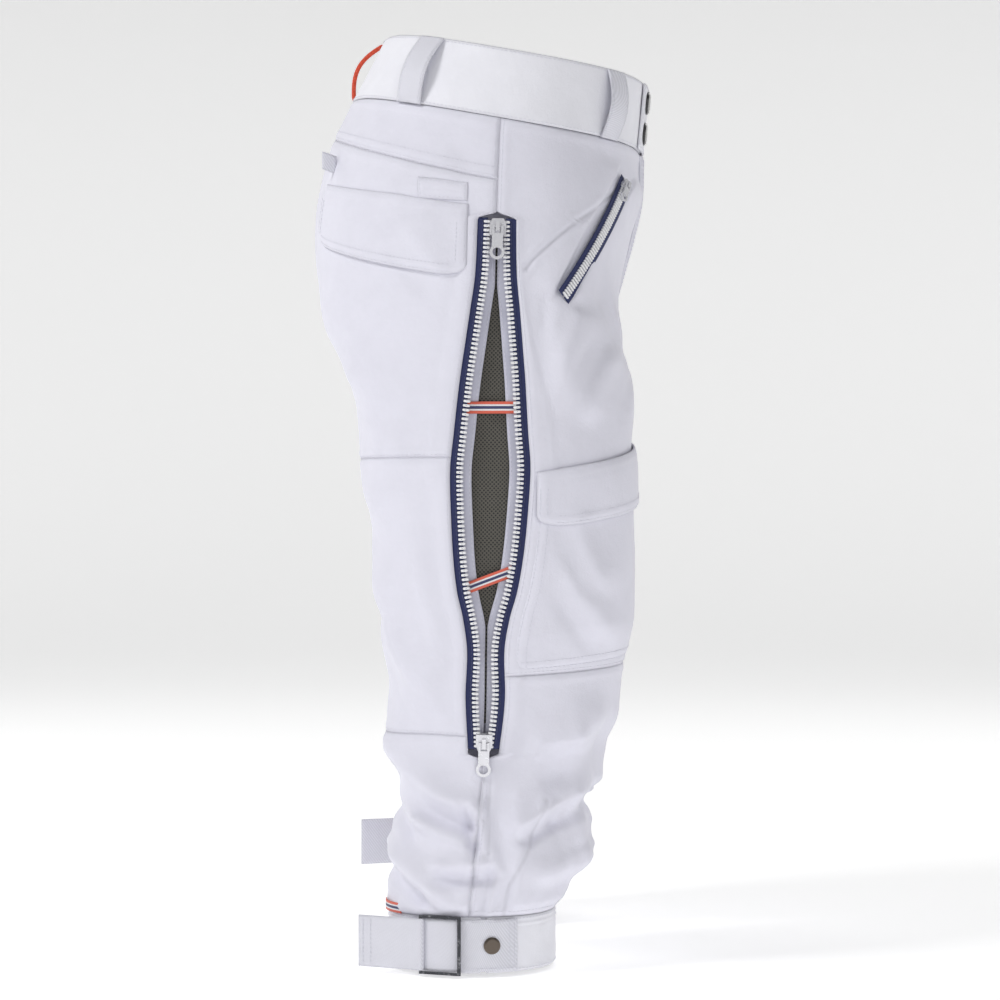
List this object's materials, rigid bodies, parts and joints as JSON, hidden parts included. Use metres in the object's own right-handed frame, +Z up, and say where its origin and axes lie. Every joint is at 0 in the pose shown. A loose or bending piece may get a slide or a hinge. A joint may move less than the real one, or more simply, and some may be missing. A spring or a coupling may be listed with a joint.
{
  "type": "ski breeches",
  "caption": "White knee-length ski breeches with zipped side vents over mesh, zipped and flapped pockets, a snapped waistband and buckled cuffs.",
  "frame": {"origin": "the middle of the waist opening, at the waistband's mid-height at the sides", "axes": "+Z up the wearer's body, -Y the wearer's front, -X the wearer's right"},
  "size_m": [0.3972, 0.271, 0.7408],
  "materials": {
    "shell": "matt white softshell",
    "band": "matt white, fused",
    "lining": "brushed dark lining",
    "webbing": "white woven webbing",
    "red_webbing": "orange-red woven cord",
    "navy_tape": "navy woven tape",
    "teeth": "white moulded plastic",
    "facing": "lavender-white facing",
    "mesh": "dark olive perforated mesh",
    "ribbon": "red, white and navy woven ribbon",
    "slider_metal": "pale lacquered die-cast",
    "buckle_metal": "dark plated wire with bright edges",
    "black_snap": "black lacquer",
    "bronze_snap": "dark antique plating",
    "stud_metal": "plated",
    "bag": "light pocketing"
  },
  "bodies": {
    "shell": {"waistband": "band", "waistband_lining": "lining", "belt_loops": "webbing", "back_ribbon_loop": "red_webbing", "waist_snap_studs": "stud_metal", "fly_facing": "band", "fly_chain": "teeth", "yoke_right": "shell", "yoke_left": "shell", "seat_panel_right": "shell", "seat_panel_left": "shell", "back_thigh_panel_right": "shell", "back_thigh_panel_left": "shell", "calf_panel_right": "shell", "calf_panel_left": "shell", "front_thigh_panel_right": "shell", "front_thigh_panel_left": "shell", "shin_panel_right": "shell", "shin_panel_left": "shell", "vent_tapes": "navy_tape", "vent_teeth": "teeth", "vent_facings": "facing", "vent_mesh": "mesh", "vent_ribbons": "ribbon", "hand_pocket_chains": "teeth", "hand_pocket_bags": "bag", "back_pocket_tabs": "webbing", "cargo_pocket_right": "shell", "cargo_pocket_left": "shell", "cuff_band_right": "shell", "cuff_band_left": "shell", "cuff_strap_right": "webbing", "cuff_strap_left": "webbing", "cuff_snap_caps": "bronze_snap", "cuff_snap_studs": "stud_metal"},
    "vent_top_slider_right": {"vent_top_slider_right": "slider_metal"},
    "vent_top_puller_right": {"vent_top_puller_right": "slider_metal"},
    "vent_bottom_slider_right": {"vent_bottom_slider_right": "slider_metal"},
    "vent_bottom_puller_right": {"vent_bottom_puller_right": "slider_metal"},
    "hand_pocket_slider_right": {"hand_pocket_slider_right": "slider_metal"},
    "hand_pocket_puller_right": {"hand_pocket_puller_right": "slider_metal"},
    "vent_top_slider_left": {"vent_top_slider_left": "slider_metal"},
    "vent_top_puller_left": {"vent_top_puller_left": "slider_metal"},
    "vent_bottom_slider_left": {"vent_bottom_slider_left": "slider_metal"},
    "vent_bottom_puller_left": {"vent_bottom_puller_left": "slider_metal"},
    "hand_pocket_slider_left": {"hand_pocket_slider_left": "slider_metal"},
    "hand_pocket_puller_left": {"hand_pocket_puller_left": "slider_metal"},
    "fly_slider": {"fly_slider": "slider_metal", "fly_puller": "slider_metal"},
    "waist_tab": {"waist_tab": "band", "waist_snap_caps": "black_snap"},
    "back_flap_right": {"back_flap_right": "shell"},
    "back_flap_left": {"back_flap_left": "shell"},
    "cargo_flap_right": {"cargo_flap_right": "shell"},
    "cargo_flap_left": {"cargo_flap_left": "shell"},
    "cuff_buckle_right": {"cuff_buckle_right": "buckle_metal"},
    "strap_tail_right": {"strap_tail_right": "webbing"},
    "cuff_buckle_left": {"cuff_buckle_left": "buckle_metal"},
    "strap_tail_left": {"strap_tail_left": "webbing"}
  },
  "joints": [
    {"name": "vent_top_slide_right", "type": "hinge", "parent": "shell", "child": "vent_top_slider_right", "pos_m": [1.10443, 0.0075, -0.31], "axis": [0, -0.9996, -0.0268], "range_deg": [0, 2.6]},
    {"name": "vent_top_puller_swing_right", "type": "hinge", "parent": "vent_top_slider_right", "child": "vent_top_puller_right", "pos_m": [-0.18635, 0.00224, -0.11371], "axis": [0, 0.9996, 0.0268], "range_deg": [0, 150]},
    {"name": "vent_bottom_slide_right", "type": "hinge", "parent": "shell", "child": "vent_bottom_slider_right", "pos_m": [1.10443, 0.0075, -0.31], "axis": [0, 0.9996, 0.0268], "range_deg": [0, 3.9]},
    {"name": "vent_bottom_puller_swing_right", "type": "hinge", "parent": "vent_bottom_slider_right", "child": "vent_bottom_puller_right", "pos_m": [-0.18601, 0.01282, -0.50854], "axis": [0, 0.9996, 0.0268], "range_deg": [0, 150]},
    {"name": "hand_pocket_slide_right", "type": "hinge", "parent": "shell", "child": "hand_pocket_slider_right", "pos_m": [0.11472, 0.25863, -0.15098], "axis": [0.5494, -0.4927, -0.6748], "range_deg": [0, 16.04]},
    {"name": "hand_pocket_puller_swing_right", "type": "hinge", "parent": "hand_pocket_slider_right", "child": "hand_pocket_puller_right", "pos_m": [-0.11125, -0.09884, -0.07393], "axis": [-0.5494, 0.4927, 0.6748], "range_deg": [0, 150]},
    {"name": "vent_top_slide_left", "type": "hinge", "parent": "shell", "child": "vent_top_slider_left", "pos_m": [-1.10443, 0.0075, -0.31], "axis": [0, 0.9996, 0.0268], "range_deg": [0, 2.6]},
    {"name": "vent_top_puller_swing_left", "type": "hinge", "parent": "vent_top_slider_left", "child": "vent_top_puller_left", "pos_m": [0.18635, 0.00224, -0.11371], "axis": [0, -0.9996, -0.0268], "range_deg": [0, 150]},
    {"name": "vent_bottom_slide_left", "type": "hinge", "parent": "shell", "child": "vent_bottom_slider_left", "pos_m": [-1.10443, 0.0075, -0.31], "axis": [0, -0.9996, -0.0268], "range_deg": [0, 3.9]},
    {"name": "vent_bottom_puller_swing_left", "type": "hinge", "parent": "vent_bottom_slider_left", "child": "vent_bottom_puller_left", "pos_m": [0.18601, 0.01282, -0.50854], "axis": [0, -0.9996, -0.0268], "range_deg": [0, 150]},
    {"name": "hand_pocket_slide_left", "type": "hinge", "parent": "shell", "child": "hand_pocket_slider_left", "pos_m": [-0.11472, 0.25863, -0.15098], "axis": [0.5494, 0.4927, 0.6748], "range_deg": [0, 16.04]},
    {"name": "hand_pocket_puller_swing_left", "type": "hinge", "parent": "hand_pocket_slider_left", "child": "hand_pocket_puller_left", "pos_m": [0.11125, -0.09884, -0.07393], "axis": [-0.5494, -0.4927, -0.6748], "range_deg": [0, 150]},
    {"name": "fly_slide", "type": "hinge", "parent": "shell", "child": "fly_slider", "pos_m": [0, 0.18411, -0.03494], "axis": [1, 0, 0], "range_deg": [0, 16.79]},
    {"name": "waist_tab_swing", "type": "hinge", "parent": "shell", "child": "waist_tab", "pos_m": [0.03722, -0.113, -0.01169], "axis": [-0.0336, -0.0932, 0.9951], "range_deg": [0, 120]},
    {"name": "back_flap_lift_right", "type": "hinge", "parent": "shell", "child": "back_flap_right", "pos_m": [-0.15336, 0.09803, -0.08492], "axis": [0.5904, 0.7904, 0.1634], "range_deg": [0, 90]},
    {"name": "back_flap_lift_left", "type": "hinge", "parent": "shell", "child": "back_flap_left", "pos_m": [0.15336, 0.09803, -0.08492], "axis": [0.5904, -0.7904, -0.1634], "range_deg": [0, 90]},
    {"name": "cargo_flap_lift_right", "type": "hinge", "parent": "shell", "child": "cargo_flap_right", "pos_m": [-0.12772, -0.10387, -0.28531], "axis": [-0.9518, 0.2437, -0.186], "range_deg": [0, 90]},
    {"name": "cargo_flap_lift_left", "type": "hinge", "parent": "shell", "child": "cargo_flap_left", "pos_m": [0.12772, -0.10387, -0.28531], "axis": [-0.9518, -0.2437, 0.186], "range_deg": [0, 90]},
    {"name": "cuff_buckle_swing_right", "type": "hinge", "parent": "shell", "child": "cuff_buckle_right", "pos_m": [-0.18801, 0.03186, -0.6628], "axis": [0, 0, 1], "range_deg": [0, 60]},
    {"name": "strap_tail_swing_right", "type": "hinge", "parent": "cuff_buckle_right", "child": "strap_tail_right", "pos_m": [-0.1777, 0.06181, -0.6628], "axis": [0, 0, 1], "range_deg": [0, 75]},
    {"name": "cuff_buckle_swing_left", "type": "hinge", "parent": "shell", "child": "cuff_buckle_left", "pos_m": [0.18801, 0.03186, -0.6248], "axis": [0, 0, -1], "range_deg": [0, 60]},
    {"name": "strap_tail_swing_left", "type": "hinge", "parent": "cuff_buckle_left", "child": "strap_tail_left", "pos_m": [0.1777, 0.06181, -0.6248], "axis": [0, 0, -1], "range_deg": [0, 75]}
  ]
}
